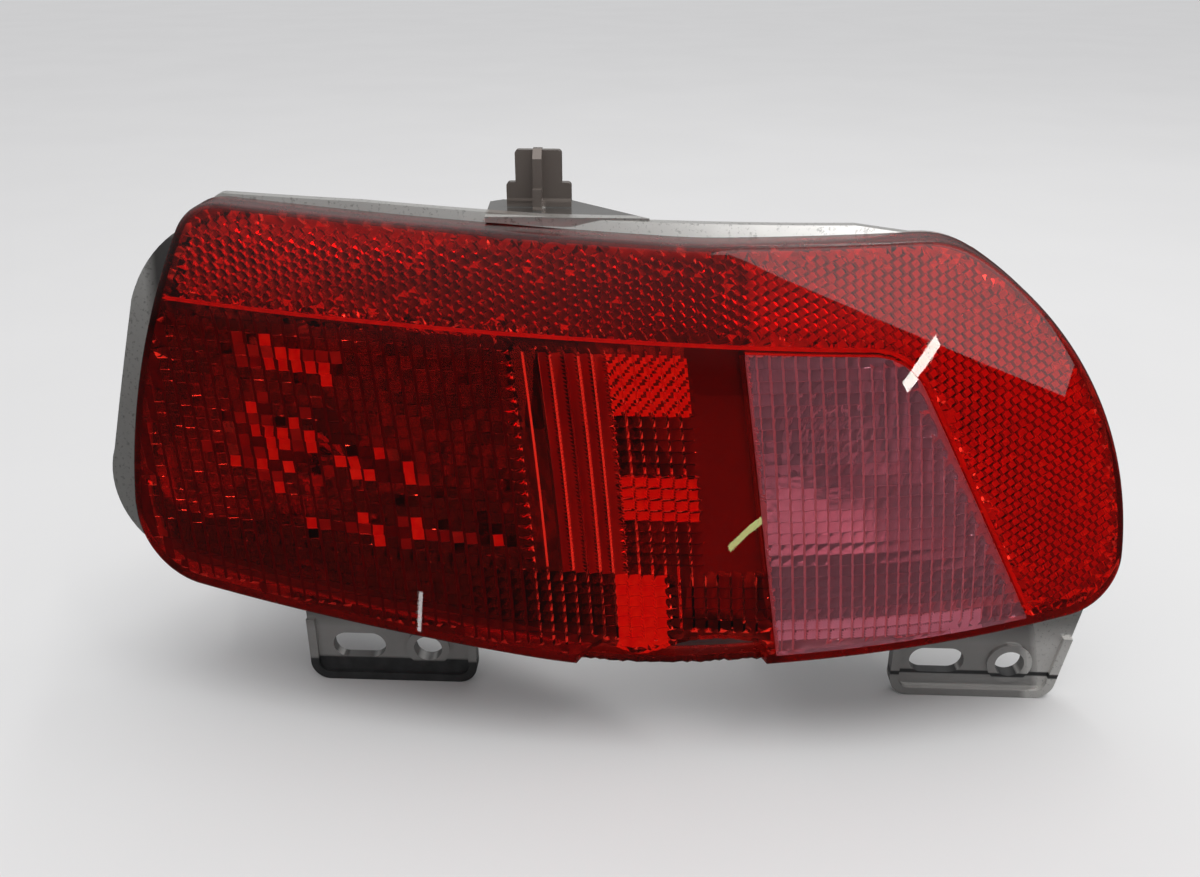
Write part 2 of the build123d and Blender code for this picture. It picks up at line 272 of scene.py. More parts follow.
def spaced(points, step, closed):
    """The same line with even spacing."""
    if closed:
        points = np.vstack((points, points[:1]))
    steps = np.hypot(*np.diff(points, axis=0).T)
    points = points[np.concatenate(([True], steps > 1e-6))]
    lengths = np.concatenate(([0.0], np.cumsum(np.hypot(*np.diff(points, axis=0).T))))
    count = int(lengths[-1] / step)
    marks = np.linspace(0, lengths[-1], count + 1)
    if closed:
        marks = marks[:-1]
    return np.column_stack((np.interp(marks, lengths, points[:, 0]), np.interp(marks, lengths, points[:, 1])))


def moved_in(points, amount, closed=True):
    """The line moved to its right-hand side, which is inwards for a clockwise loop."""
    if closed:
        d = np.roll(points, -1, 0) - np.roll(points, 1, 0)
    else:
        d = np.gradient(points, axis=0)
    n = np.column_stack((d[:, 1], -d[:, 0]))
    return points + amount * n / np.hypot(*n.T)[:, None]


def inside(points, loop):
    """Which points lie inside a closed loop."""
    x, y = points[:, 0][:, None], points[:, 1][:, None]
    result = np.zeros(len(points), bool)
    a, b = loop, np.roll(loop, -1, 0)
    for k in range(0, len(points), 4000):
        xs, ys = x[k : k + 4000], y[k : k + 4000]
        cross = (a[:, 1] > ys) != (b[:, 1] > ys)
        with np.errstate(divide="ignore", invalid="ignore"):
            at = a[:, 0] + (ys - a[:, 1]) / (b[:, 1] - a[:, 1]) * (b[:, 0] - a[:, 0])
        result[k : k + 4000] = (cross & (xs < at)).sum(1) % 2 == 1
    return result


def distance(points, path):
    """Distance from each point to a finely spaced line."""
    out = np.empty(len(points))
    for k in range(0, len(points), 2000):
        part = points[k : k + 2000]
        out[k : k + 2000] = np.sqrt(((part[:, None, :] - path[None]) ** 2).sum(2)).min(1)
    return out


# Outline of the lens
outline = chain(
    [
        line(TOP_LEFT, TOP_DIP),
        line(TOP_DIP, TOP_RIGHT),
        arc(TOP_RIGHT, RIGHT_VIA, FOOT_RIGHT),
        line(FOOT_RIGHT, FOOT_DIP),
        line(FOOT_DIP, FOOT_LEFT),
        arc(FOOT_LEFT, LEFT_VIA, TOP_LEFT),
    ],
    FILLETS,
)
outline = spaced(outline, OUTLINE_STEP, True)
border = chain([line(BORDER_LEFT, BORDER_CORNER), line(BORDER_CORNER, BORDER_FOOT)], (BORDER_R,))
border = spaced(border, BORDER_STEP, False)


def window_left(z):
    """x of the window's left side at a height."""
    return WINDOW_TOP[0] + (WINDOW_TOP[1] - z) * WINDOW_RUN / WINDOW_RISE


# Reversing window, clockwise from its top left
window_edge = moved_in(border, WINDOW_LAND, False)
low_edge = moved_in(outline, SKIRT + WINDOW_FOOT)
keep = (window_edge[:, 0] > window_left(window_edge[:, 1])) & inside(window_edge, low_edge)
top_and_right = window_edge[keep]
closed_zone = np.vstack((window_edge, ((BORDER_FOOT[0], BELOW_ALL), (BORDER_LEFT[0], BELOW_ALL))))
keep = (low_edge[:, 0] > window_left(low_edge[:, 1])) & inside(low_edge, closed_zone)
foot = low_edge[keep & (low_edge[:, 1] < -20)]
foot = foot[np.argsort(-foot[:, 0])]
left_z = np.arange(foot[-1][1] + 1.0, top_and_right[0][1] - 0.5, 1.0)
left_side = np.column_stack((window_left(left_z), left_z))
window = np.vstack((top_and_right, foot, left_side))


def through(marks, parts):
    """Points of a smooth curve from the second mark to the last but one."""
    out = []
    for k in range(1, len(marks) - 1):
        p0, p1, p2, p3 = marks[k - 1], marks[k], marks[k + 1], marks[min(k + 2, len(marks) - 1)]
        square, cube = 2 * p0 - 5 * p1 + 4 * p2 - p3, 3 * p1 - p0 - 3 * p2 + p3
        for t in np.linspace(0, 1, parts, endpoint=False):
            out.append(0.5 * (2 * p1 + (p2 - p0) * t + square * t**2 + cube * t**3))
    return out


chip_line = np.vstack(
    (line(CHIP_MARKS[0], CHIP_MARKS[1], CHIP_STEP)[:-1], through(CHIP_MARKS, 12), CHIP_MARKS[-1:])
)
chip_line = spaced(chip_line, CHIP_STEP, False)
chip_line[:, 1] += rng.normal(0, 0.12, len(chip_line))
chip_loop = np.vstack((chip_line, ((CHIP_MARKS[-1][0], -80.0), (CHIP_MARKS[0][0], -80.0))))


def triangles(points, loops, ribs=()):
    """Triangles over planar points; loops and ribs are lists of point numbers."""
    edges = []
    for loop in loops:
        edges += [(loop[k], loop[(k + 1) % len(loop)]) for k in range(len(loop))]
    for rib in ribs:
        edges += [(rib[k], rib[k + 1]) for k in range(len(rib) - 1)]
    flat = [Vector((float(p[0]), float(p[1]))) for p in points]
    inside_only = 1
    found = delaunay_2d_cdt(flat, edges, [], inside_only, 1e-7)
    source = found[3]
    faces = []
    for face in found[2]:
        corners = [source[v][0] if source[v] else -1 for v in face]
        if min(corners) >= 0 and len(set(corners)) == 3:
            faces.append(corners)
    faces = np.array(faces)
    middle = points[faces].mean(1)
    good = inside(middle, points[loops[0]])
    for loop in loops[1:]:
        good &= ~inside(middle, points[loop])
    return faces[good]


class Mesh:
    """Collects points and faces for one closed piece."""

    def __init__(self):
        self.points = []
        self.faces = []
        self.looks = []
        self.look = 0
        self.count = 0

    def add(self, points):
        first = self.count
        self.points.append(np.asarray(points, float))
        self.count += len(points)
        return np.arange(first, self.count)

    def face(self, *corners):
        corners = [int(c) for c in corners]
        corners = [c for i, c in enumerate(corners) if c not in corners[:i]]
        if len(corners) > 2:
            self.faces.append(corners)
            self.looks.append(self.look)

    def strip(self, a, b, look=0):
        """Faces between two closed rings."""
        self.look = look
        for k in range(len(a)):
            m = (k + 1) % len(a)
            self.face(a[k], a[m], b[m], b[k])
        self.look = 0

    def fill(self, faces, numbers):
        for face in faces:
            self.face(*numbers[face])

    def build(self, name, angle):
        """The finished piece, with edges over an angle in degrees kept sharp."""
        points = (np.vstack(self.points) + SHIFT) * 0.001
        mesh = bpy.data.meshes.new(name)
        mesh.from_pydata(points.tolist(), [], self.faces)
        mesh.polygons.foreach_set("material_index", self.looks)
        work = bmesh.new()
        work.from_mesh(mesh)
        bmesh.ops.recalc_face_normals(work, faces=work.faces)
        work.to_mesh(mesh)
        work.free()
        mesh.shade_smooth()
        mesh.set_sharp_from_angle(angle=math.radians(angle))
        piece = bpy.data.objects.new(name, mesh)
        scene.collection.objects.link(piece)
        return piece


def hexes():
    """Cube-corner cells of the reflex band: centre and six corners, one depth step per cell."""
    side = HEX_PITCH / math.sqrt(3.0)
    rise = side / math.sqrt(2.0)
    cells = []
    ca, sa = math.cos(HEX_TILT), math.sin(HEX_TILT)
    for a in range(-80, 81):
        for b in range(-60, 61):
            u = HEX_PITCH * 0.8660254 * a
            w = HEX_PITCH * (b + 0.5 * (a % 2))
            cells.append((u * ca - w * sa, u * sa + w * ca))
    cells = np.array(cells)
    cells = cells[(np.abs(cells[:, 1]) < 75) & (cells[:, 0] > -125) & (cells[:, 0] < 150)]
    angles = HEX_TILT + np.radians(np.arange(6) * 60.0)
    ring_u = np.concatenate(([0.0], side * CELL_FILL * np.cos(angles)))
    ring_w = np.concatenate(([0.0], side * CELL_FILL * np.sin(angles)))
    level = np.array((2, 0, 1, 0, 1, 0, 1)) * rise
    return cells[:, :1] + ring_u, cells[:, 1:] + ring_w, level


def grid(first_u, last_u, first_z, last_z, parts_u, parts_z):
    """Rectangular cells with a grid of points each, columns from the left and rows from the top."""
    cu = np.arange(first_u + CELL_W / 2, last_u, CELL_W)
    cz = np.arange(first_z - CELL_H / 2, last_z, -CELL_H)
    uu, zz = np.meshgrid(cu, cz)
    gu, gz = np.meshgrid(np.linspace(-1, 1, parts_u + 1), np.linspace(-1, 1, parts_z + 1))
    u = uu.reshape(-1, 1) + gu.ravel() * CELL_W / 2 * CELL_FILL
    z = zz.reshape(-1, 1) + gz.ravel() * CELL_H / 2 * CELL_FILL
    return u, z, gu.ravel(), gz.ravel()


def settle(u, z, shape, least, stair, rows=1):
    """Depth of each cell: stair 1 gives flat steps across the lamp axis, 0 follows the lens face."""
    depth = face_depth(u.ravel(), z.ravel()).reshape(u.shape)
    deep = depth.reshape(len(u), rows, -1).max(2)
    deep = np.repeat(deep, u.shape[1] // rows, axis=1)
    return stair * deep + (1 - stair) * depth + least + shape


def clear_of(flat, shape, loop, paths, margin):
    """Cells with all corners inside a loop and clear of the lines."""
    left = np.flatnonzero(inside(flat, loop))
    for path in (loop, *paths):
        left = left[distance(flat[left], path) > margin]
    good = np.zeros(len(flat), bool)
    good[left] = True
    return good.reshape(shape).all(1)


def lattice(u, z):
    """Points all over rectangular cells."""
    share = np.linspace(0, 1, 5)
    a = u.min(1)[:, None] + np.ptp(u, axis=1)[:, None] * share
    b = z.min(1)[:, None] + np.ptp(z, axis=1)[:, None] * share
    return np.column_stack((np.repeat(a, 5, axis=1).ravel(), np.tile(b, (1, 5)).ravel()))


def ground(loop, paths, covered, holes=()):
    """Plain back of the lens wherever no cell stands."""
    tree = KDTree(len(covered))
    for k, p in enumerate(covered):
        tree.insert((p[0], p[1], 0.0), k)
    tree.balance()
    low, high = loop.min(0), loop.max(0)
    u, z = np.meshgrid(np.arange(low[0], high[0], GROUND_STEP), np.arange(low[1], high[1], GROUND_STEP))
    points = np.column_stack((u.ravel(), z.ravel()))
    points = points[inside(points, loop)]
    for hole in holes:
        points = points[~inside(points, hole)]
    points = points[[tree.find((p[0], p[1], 0.0))[2] > 0.75 * GROUND_STEP for p in points]]
    for path in (loop, *holes, *paths):
        points = points[distance(points, path) > 0.5 * GROUND_STEP]
    return unturned(points[:, 0], points[:, 1], face_depth(points[:, 0], points[:, 1], WALL))


def flat_of(points):
    """The view of 3-D points along the lamp axis."""
    return turned(points)[:, :2]


def whole(*counts):
    """Loops of point numbers that follow one another."""
    starts = np.concatenate(([0], np.cumsum(counts)))
    return [list(range(a, b)) for a, b in zip(starts, starts[1:])]


inner_fine = moved_in(spaced(outline, FINE, True), SKIRT)
border_fine = spaced(border, FINE, False)
window_fine = spaced(window, FINE, True)

# Red lens: rounded rim, broken down where the chip is, and skirt
RIM = ((0.0, 1.2), (0.08, 0.75), (0.3, 0.36), (0.6, 0.12), (1.2, 0.0), (SKIRT, 0.0))
EDGE_RINGS = 3
SKIRT_DRAFT = 0.15
red = Mesh()
chipped = inside(moved_in(outline, 1.0), chip_loop)
rough = rng.normal(0, 0.25, len(outline))
front_rings = []
for offset, t in RIM:
    depth = np.where(chipped, CHIP_DEPTH + rough, t)
    ring = moved_in(outline, offset)
    front_rings.append(red.add(on_lens(ring, depth)))
back_rings = [red.add(on_lens(moved_in(outline, o), SKIRT_END)) for o in (0.0, SKIRT - SKIRT_DRAFT)]
inner_ring = moved_in(outline, SKIRT)
front = front_rings[-1]
back = np.where(chipped, front, red.add(on_lens(inner_ring, WALL)))
# The outer rings of the rim and the skirt strips take the edge look, a painted shade
for k, (a, b) in enumerate(zip(front_rings, front_rings[1:])):
    red.strip(a, b, EDGE_LOOK if k < EDGE_RINGS else 0)
for a, b in ((front_rings[0], back_rings[0]), back_rings, (back_rings[1], back)):
    red.strip(a, b, EDGE_LOOK)

# The broken edge of the chip
gone = np.flatnonzero(chipped)
before = (gone[0] - 1) % len(outline)
after = (gone[-1] + 1) % len(outline)
chip_inner = chip_line[inside(chip_line, inner_ring) & (distance(chip_line, inner_fine) > 0.5)]
chip_front = red.add(on_lens(chip_inner, 0.0))
chip_back = red.add(on_lens(chip_inner, WALL))
order = [k for k in range(len(outline)) if not chipped[k]]
cut = order.index(before) + 1
kept = order[cut:] + order[:cut]
front_loop = np.concatenate((front[kept], chip_front))
back_loop = np.concatenate((back[kept], chip_back))
break_front = np.concatenate((front[[before]], chip_front, front[[after]]))
break_back = np.concatenate((back[[before]], chip_back, back[[after]]))
for k in range(len(break_front) - 1):
    red.face(break_front[k], break_front[k + 1], break_back[k + 1], break_back[k])
red.face(front[before], back[before], front[gone[0]])
red.face(front[after], back[after], front[gone[-1]])

# Opening for the window, and the smooth face
window_front = red.add(on_lens(window, 0.0))
window_back = red.add(on_lens(window, WALL))
red.strip(window_front, window_back)
loop_xz = np.vstack(red.points)[front_loop][:, (0, 2)]
gx, gz = np.meshgrid(np.arange(-128.0, 138.0, FACE_STEP), np.arange(-63.0, 52.0, FACE_STEP))
face_grid = np.column_stack((gx.ravel(), gz.ravel()))
ok = inside(face_grid, loop_xz) & ~inside(face_grid, window)
ok &= (distance(face_grid, spaced(loop_xz, 0.4, True)) > 0.8) & (distance(face_grid, window_fine) > 0.8)
red_grid = face_grid[ok]
numbers = np.concatenate((front_loop, window_front, red.add(on_lens(red_grid, 0.0))))
flat = np.vstack((loop_xz, window, red_grid))
red.fill(triangles(flat, whole(len(front_loop), len(window))), numbers)

# Back of the red lens, laid out across the lamp axis
all_points = np.vstack(red.points)
loop_flat = flat_of(all_points[back_loop])
hole_flat = flat_of(all_points[window_back])
loop_fine = spaced(loop_flat, FINE, True)
hole_fine = spaced(hole_flat, FINE, True)
numbers = [back_loop, window_back]
flats = [loop_flat, hole_flat]
covered = []


def add_back(points):
    numbers.append(red.add(points))
    flats.append(flat_of(points))


# Round bead along the zone boundary
bead_lists = []
for offset in (0.0, 0.07, 0.25, 0.5, 0.75, 0.93, 1.0):
    path = moved_in(border, offset, False)
    path = path[inside(path, inner_ring) & (distance(path, inner_fine) > 1.2)]
    base = turned(on_lens(path, WALL))
    base[:, 2] += BEAD * math.sqrt(max(0.0, 1 - ((offset - 0.5) / 0.5) ** 2))
    start = sum(len(f) for f in flats)
    add_back(unturned(base[:, 0], base[:, 1], base[:, 2]))
    bead_lists.append(list(range(start, start + len(path))))
bead_top, bead_crest, bead_low = (spaced(np.vstack(flats)[bead_lists[k]], FINE, False) for k in (0, 3, -1))
covered += [bead_top, bead_low]
zone_flat = np.vstack((flat_of(on_lens(border_fine, 0.0)), ((120.0, -150.0), (-150.0, -150.0))))


def free_cells(u, z, in_zone):
    """Cells clear of the rim, bead and window, in the lamp zones or outside them."""
    flat = np.column_stack((u.ravel(), z.ravel()))
    good = clear_of(flat, u.shape, loop_fine, (bead_top, bead_low, hole_fine), CELL_CLEAR)
    good &= inside(flat, zone_flat).reshape(u.shape)[:, 0] == in_zone
    return good & ~inside(flat, hole_flat).reshape(u.shape)[:, 0]


# Reflex band
u, z, level = hexes()
ok = free_cells(u, z, False)
u, z = u[ok], z[ok]
d = settle(u, z, level, REFLEX_LEAST, 1.0)
add_back(unturned(u.ravel(), z.ravel(), d.ravel()))
half_u, half_z = (u + u[:, :1]) / 2, (z + z[:, :1]) / 2
covered += [flats[-1], np.column_stack((half_u.ravel(), half_z.ravel()))]


# Fog zone: fields of prism cells
def edge_of(column):
    """u of a column's left edge."""
    return FIRST_U + column * CELL_W + 1e-6


def fog_cells(first, last, top, foot, parts, shape, rows=1):
    """A field of prism cells; shape gives the extra depth over each cell."""
    u, z, gu, gz = grid(edge_of(first), edge_of(last) - 0.1, top, foot + 0.1, parts, parts)
    good = free_cells(u, z, True)
    u, z = u[good], z[good]
    d = settle(u, z, shape(gu, gz, u, z), LEAST, STAIR, rows)
    add_back(unturned(u.ravel(), z.ravel(), d.ravel()))
    covered.append(lattice(u, z))


def sparkle(u, z):
    """How near a cell is to the places that tip most."""
    return sum(np.exp(-(((u - a) / c) ** 2) - ((z - b) / d) ** 2) for a, b, c, d in SPARKS)


def mosaic(gu, gz, u, z):
    """Flat cells, each tipped a little its own way, most in front of the bulb."""
    mu, mz = u.mean(1, keepdims=True), z.mean(1, keepdims=True)
    size = 0.04 + 0.26 * sparkle(mu, mz)
    return size * (rng.normal(0, 1, mu.shape) * gu + rng.normal(0, 1, mu.shape) * gz)


def flute(gu, gz, u, z):
    """Upright flutes, each column with its own slant."""
    column = np.round((u.mean(1, keepdims=True) - FIRST_U) / CELL_W - 0.5)
    return 0.22 * np.sin(2.4 * column) * gu + 0.05 * (1 - gu**2)


def dome(gu, gz):
    """A low pillow, 1 in the middle and 0 at the corners."""
    return 1 - 0.5 * (gu**2 + gz**2)


def pillow(gu, gz, u, z):
    return 0.36 * dome(gu, gz)


def growing(gu, gz, u, z):
    """Pillows that grow stronger to the right."""
    share = np.clip((u.mean(1, keepdims=True) + 40.0) / 40.0, 0.05, 1.0)
    return 0.16 * share * dome(gu, gz)


def hatch(gu, gz, u, z):
    return 0.3 * (1 - 0.25 * (gu + gz) ** 2) + 0.35 * gz


def outlined(gu, gz, u, z):
    return 0.1 * (1 - np.maximum(np.abs(gu), np.abs(gz)) ** 6)


def ridged(gu, gz, u, z):
    return 0.3 * (1 - gz**2) - 0.35 * gz


def flat_cell(gu, gz, u, z):
    return 0.0 * u


fog_cells(0, FLUTES, ROWS_TOP, LOW_BAND, 1, mosaic)
fog_cells(0, BLOCK - 1, LOW_BAND, ROWS_FOOT, 3, growing)
fog_cells(FLUTES, BLOCK, BLOCKS_TOP, LOW_BAND, 3, flute, 4)
fog_cells(BLOCK - 1, BLOCK + 3, LOW_BAND, ROWS_FOOT, 3, pillow)
fog_cells(BLOCK + 3, LAST, LOW_BAND, ROWS_FOOT, 1, flat_cell)
top = BLOCKS_TOP
for rows, shape in ((5, hatch), (5, outlined), (4, ridged), (5, outlined)):
    fog_cells(BLOCK, BLOCK_END, top, top - rows * CELL_H, 4, shape)
    top -= rows * CELL_H
add_back(ground(loop_fine, (bead_top, bead_low), np.vstack(covered), (hole_fine,)))
loops = whole(len(back_loop), len(window_back))
red.fill(triangles(np.vstack(flats), loops, bead_lists), np.concatenate(numbers))
red_lens = red.build("red_lens_optics", 33)


# Looks of the faces
class Faces:
    """Middle and side of each face across the lamp axis, and its cell's column, row and share of both."""

    def __init__(self, piece):
        self.polygons = piece.data.polygons
        count = len(self.polygons)
        centre, normal = np.empty(count * 3), np.empty(count * 3)
        self.look = np.empty(count, int)
        self.polygons.foreach_get("center", centre)
        self.polygons.foreach_get("normal", normal)
        self.polygons.foreach_get("material_index", self.look)
        centre = turned(centre.reshape(-1, 3) * 1000.0 - SHIFT)
        self.middle, (self.u, self.z, depth) = centre[:, :2], centre.T
        self.normal_u, self.normal_z = turned(normal.reshape(-1, 3)).T[:2]
        self.behind = (self.look == 0) & (depth - face_depth(self.u, self.z) > 1.0)
        column, row = (self.u - FIRST_U) / CELL_W, (ROWS_TOP - self.z) / CELL_H
        self.column, self.row = np.floor(column).astype(int), np.floor(row).astype(int)
        self.across, self.down = column % 1, row % 1

    def keep(self):
        self.polygons.foreach_set("material_index", self.look)


def between(values, low, high):
    return (values >= low) & (values < high)


# Fog zone, painted light on one red acrylic: painted shade on dark walls between the columns, painted glow on
# cells near the bulb and on the flutes, and painted glints in the blocks and pillows
f = Faces(red_lens)
near = sparkle(FIRST_U + (f.column + 0.5) * CELL_W, ROWS_TOP - (f.row + 0.5) * CELL_H)
chance = rng.random((110, 60))[np.clip(f.column, 0, 109), np.clip(f.row, 0, 59)]
upright = np.abs(f.normal_z) < 0.7
in_zone = inside(f.middle, zone_flat)
in_fog = f.behind & in_zone
in_mosaic = in_fog & (f.column < FLUTES)
in_block = in_fog & between(f.column, BLOCK, BLOCK_END)
in_pillows = in_fog & between(f.column, BLOCK - 1, BLOCK + 3) & between(f.row, LOW_ROW, PILLOW_END_ROW)
in_flutes = in_fog & between(f.column, FLUTES + 2, BLOCK) & between(f.row, BLOCKS_ROW, LOW_ROW)
# Painted glow: random cells near the bulb, and the bands of the flutes
painted_glow = in_mosaic & (chance < 1.3 * near - 0.04)
painted_glow |= in_flutes & (f.across > 0.05) & (f.across < 0.86)
# Painted shade: the walls between the columns, and random cells, more of them near the bulb
wall = in_mosaic & ((np.abs(f.normal_u) > 0.8) | (chance > 1.12 - 0.4 * near))
# Painted glints: random cells near the bulb, hatching in the blocks, and the pillow faces
prism = in_mosaic & (chance < 0.75 * near - 0.06)
prism |= in_block & between(f.row, *HATCH_ROWS) & ((f.across + f.down) % 1 < 0.6)
prism |= in_block & between(f.row, *RIDGE_ROWS) & (f.down > 0.25) & (f.across > 0.1)
prism |= in_pillows & (f.across > 0.1) & (f.down > 0.08) & upright

# Reflex band: painted shade on staggered dark faces along its top, and painted glints on a few faces, more of
# them at the right
in_band = f.behind & ~in_zone & upright
to_edge = np.full(len(f.look), 99.0)
to_edge[in_band] = distance(f.middle[in_band], loop_fine)
stagger = (np.floor(f.u / (HEX_PITCH * 0.866)) + np.floor(f.z / (HEX_PITCH / 2))) % 4
at_top = (f.u < 70) & (f.z > 34) & (to_edge < 6.5)
wall |= in_band & at_top & (stagger == 0) & (f.normal_z > 0.2)
at_right = (f.u > 70) & (to_edge < 5.0)
prism |= in_band & (rng.random(len(f.look)) < np.where(at_right, 0.20, 0.04))
# Painted highlight: the crest of the bead takes the glint look, a bright line along the zone boundary
bead = f.behind & (distance(f.middle, bead_crest) < 0.5)
for chosen, look in ((painted_glow, PAINTED_GLOW_LOOK), (prism, PAINTED_GLINT_LOOK), (wall, PAINTED_SHADE_LOOK), (bead, PAINTED_GLINT_LOOK)):
    f.look[chosen] = look
f.keep()

# Reversing window: smooth face, stepped pillows behind
WINDOW_SAG = 0.20
pale = Mesh()
edge = moved_in(window, WINDOW_GAP)
edge_front = pale.add(on_lens(edge, 0.0))
edge_back = pale.add(on_lens(edge, WALL))
pale.strip(edge_front, edge_back)
pale_grid = face_grid[inside(face_grid, edge)]
pale_grid = pale_grid[distance(pale_grid, window_fine) > 1.0]
numbers = np.concatenate((edge_front, pale.add(on_lens(pale_grid, 0.0))))
pale.fill(triangles(np.vstack((edge, pale_grid)), whole(len(edge))), numbers)
edge_flat = flat_of(on_lens(edge, WALL))
edge_fine = spaced(edge_flat, FINE, True)
u, z, gu, gz = grid(FIRST_U, 110.0, ROWS_TOP, ROWS_FOOT, 4, 4)
side = edge_flat[-len(left_side) :]
side_u = np.interp(z, side[:, 1], side[:, 0]) + 0.1
u = np.where(u.max(1, keepdims=True) > side_u + 0.5, np.maximum(u, side_u), u)
good = clear_of(np.column_stack((u.ravel(), z.ravel())), u.shape, edge_fine, (), CELL_CLEAR / 2)
u, z = u[good], z[good]
d = settle(u, z, WINDOW_SAG * dome(gu, gz), LEAST, STAIR)
cells = unturned(u.ravel(), z.ravel(), d.ravel())
back = np.vstack((cells, ground(edge_fine, (), lattice(u, z))))
numbers = np.concatenate((edge_back, pale.add(back)))
pale.fill(triangles(np.vstack((edge_flat, flat_of(back))), whole(len(edge))), numbers)
window_lens = pale.build("reversing_window_optics", 28)

# A bright bar across the window, a painted reflection of a bright strip in the bowl, and red between its
# columns
f = Faces(window_lens)
bar = f.behind & between(f.row, *BAR_ROWS) & (f.column < BAR_END) & (f.across > 0.12) & (f.down > 0.12)
f.look[bar] = BAR_LOOK
f.look[f.behind & (np.abs(f.normal_u) > 0.8)] = STRIPE_LOOK
f.keep()

for piece, node, slot in (
    (red_lens, "red_lens", "red_acrylic"),
    (window_lens, "reversing_lens", "pale_acrylic"),
):
    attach(piece, "root")
    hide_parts(node)


# Materials and world
class Tree:
    """Short words for building a node tree."""

    def __init__(self, tree):
        self.tree = tree

    def add(self, kind, **values):
        node = self.tree.nodes.new(kind)
        for key, value in values.items():
            setattr(node, key, value)
        return node

    def feed(self, socket, value):
        """Give a socket a number, a colour or a link."""
        if isinstance(value, tuple):
            socket.default_value = (*value, 1.0)
        elif isinstance(value, (int, float)):
            socket.default_value = value
        else:
            self.tree.links.new(value, socket)

    def split(self, vector, axis):
        node = self.add("ShaderNodeSeparateXYZ")
        self.feed(node.inputs[0], vector)
        return node.outputs[axis]

    def maths(self, kind, a, b=0.0):
        node = self.add("ShaderNodeMath", operation=kind)
        self.feed(node.inputs[0], a)
        self.feed(node.inputs[1], b)
        return node.outputs[0]

    def plus(self, a, b):
        return self.maths("ADD", a, b)

    def minus(self, a, b):
        return self.maths("SUBTRACT", a, b)

    def times(self, first, *others):
        for other in others:
            first = self.maths("MULTIPLY", first, other)
        return first

    def without(self, mask):
        """1 where a mask is 0."""
        return self.minus(1.0, mask)

    def mix(self, fac, a, b):
        node = self.add("ShaderNodeMix", data_type="RGBA")
        for socket, value in zip((node.inputs[0], node.inputs[6], node.inputs[7]), (fac, a, b)):
            self.feed(socket, value)
        return node.outputs[2]

    def remap(self, value, a, b, c, d, kind="LINEAR"):
        node = self.add("ShaderNodeMapRange", interpolation_type=kind)
        for key, setting in zip(("Value", "From Min", "From Max", "To Min", "To Max"), (value, a, b, c, d)):
            self.feed(node.inputs[key], setting)
        return node.outputs["Result"]

    def rise(self, value, a, b):
        """0 up to a, 1 from b."""
        return self.remap(value, a, b, 0.0, 1.0)

    def fall(self, value, a, b):
        """1 up to a, 0 from b."""
        return self.remap(value, a, b, 1.0, 0.0)


class Look(Tree):
    """A material with procedural detail; words with _ name the shader's own inputs."""

    def __init__(self, name, **settings):
        self.material = bpy.data.materials.new(name)
        self.material.use_nodes = True
        super().__init__(self.material.node_tree)
        self.shader = self.tree.nodes["Principled BSDF"]
        self.object = self.add("ShaderNodeTexCoord").outputs["Object"]
        self.set(**settings)

    def set(self, **settings):
        for key, value in settings.items():
            self.feed(self.shader.inputs[key.replace("_", " ")], value)

    def noise(self, scale, detail=4.0, stretch=(1, 1, 1), roughness=0.55):
        mapping = self.add("ShaderNodeMapping")
        mapping.inputs["Scale"].default_value = stretch
        self.feed(mapping.inputs["Vector"], self.object)
        node = self.add("ShaderNodeTexNoise")
        for key, value in zip(("Scale", "Detail", "Roughness"), (scale, detail, roughness)):
            node.inputs[key].default_value = value
        self.feed(node.inputs["Vector"], mapping.outputs[0])
        return node.outputs["Fac"]

    def tones(self, fac, low, high, start=0.3, end=0.7):
        """A colour that runs from low to high."""
        node = self.add("ShaderNodeValToRGB")
        for element, at, colour in zip(node.color_ramp.elements, (start, end), (low, high)):
            element.position = at
            element.color = (*colour, 1.0)
        self.feed(node.inputs[0], fac)
        return node.outputs["Color"]

    def bump(self, height, strength, distance):
        node = self.add("ShaderNodeBump")
        for key, value in zip(("Strength", "Distance", "Height"), (strength, distance, height)):
            self.feed(node.inputs[key], value)
        self.set(Normal=node.outputs[0])

    def facing(self, axis):
        return self.split(self.add("ShaderNodeNewGeometry").outputs["Normal"], axis)


def acrylic(name, low, high, clear=1.0):
    """Polished clear plastic, with faint clouds and a few dull streaks."""
    m = Look(name, Metallic=0.0, IOR=1.49, Transmission_Weight=clear)
    m.set(Base_Color=m.tones(m.noise(60.0, 3.0), low, high))
    m.set(Roughness=m.remap(m.noise(220.0, 5.0, (1, 1, 0.2)), 0.45, 0.8, 0.0, 0.05))
    return m


def metal_look(name, low, high, rough, scale):
    m = Look(name, Metallic=1.0)
    m.set(Base_Color=m.tones(m.noise(scale), low, high))
    m.set(Roughness=m.remap(m.noise(scale * 3, 5.0, (1, 0.1, 1)), 0.3, 0.7, rough * 0.7, rough * 1.4))
    m.bump(m.noise(scale * 6), 0.1, 0.0001)
    return m.material


def plastic_look(name, low, high, rough, scale, depth):
    m = Look(name)
    m.set(Base_Color=m.tones(m.noise(scale), low, high))
    m.set(Roughness=m.remap(m.noise(scale * 2, 5.0), 0.3, 0.7, rough * 0.8, rough * 1.2))
    m.bump(m.noise(scale * 5, 6.0), 0.35, depth)
    return m.material


RED = acrylic("red_acrylic_look", (0.90, 0.020, 0.010), (0.95, 0.028, 0.014)).material
# Painted glow: a half-clear copy of the red acrylic that makes cells look lit
PAINTED_GLOW = acrylic("red_painted_glow_look", (0.42, 0.02, 0.01), (0.62, 0.05, 0.015), 0.5).material
PALE = acrylic("pale_acrylic_look", (0.80, 0.32, 0.40), (0.86, 0.38, 0.46), 0.9).material
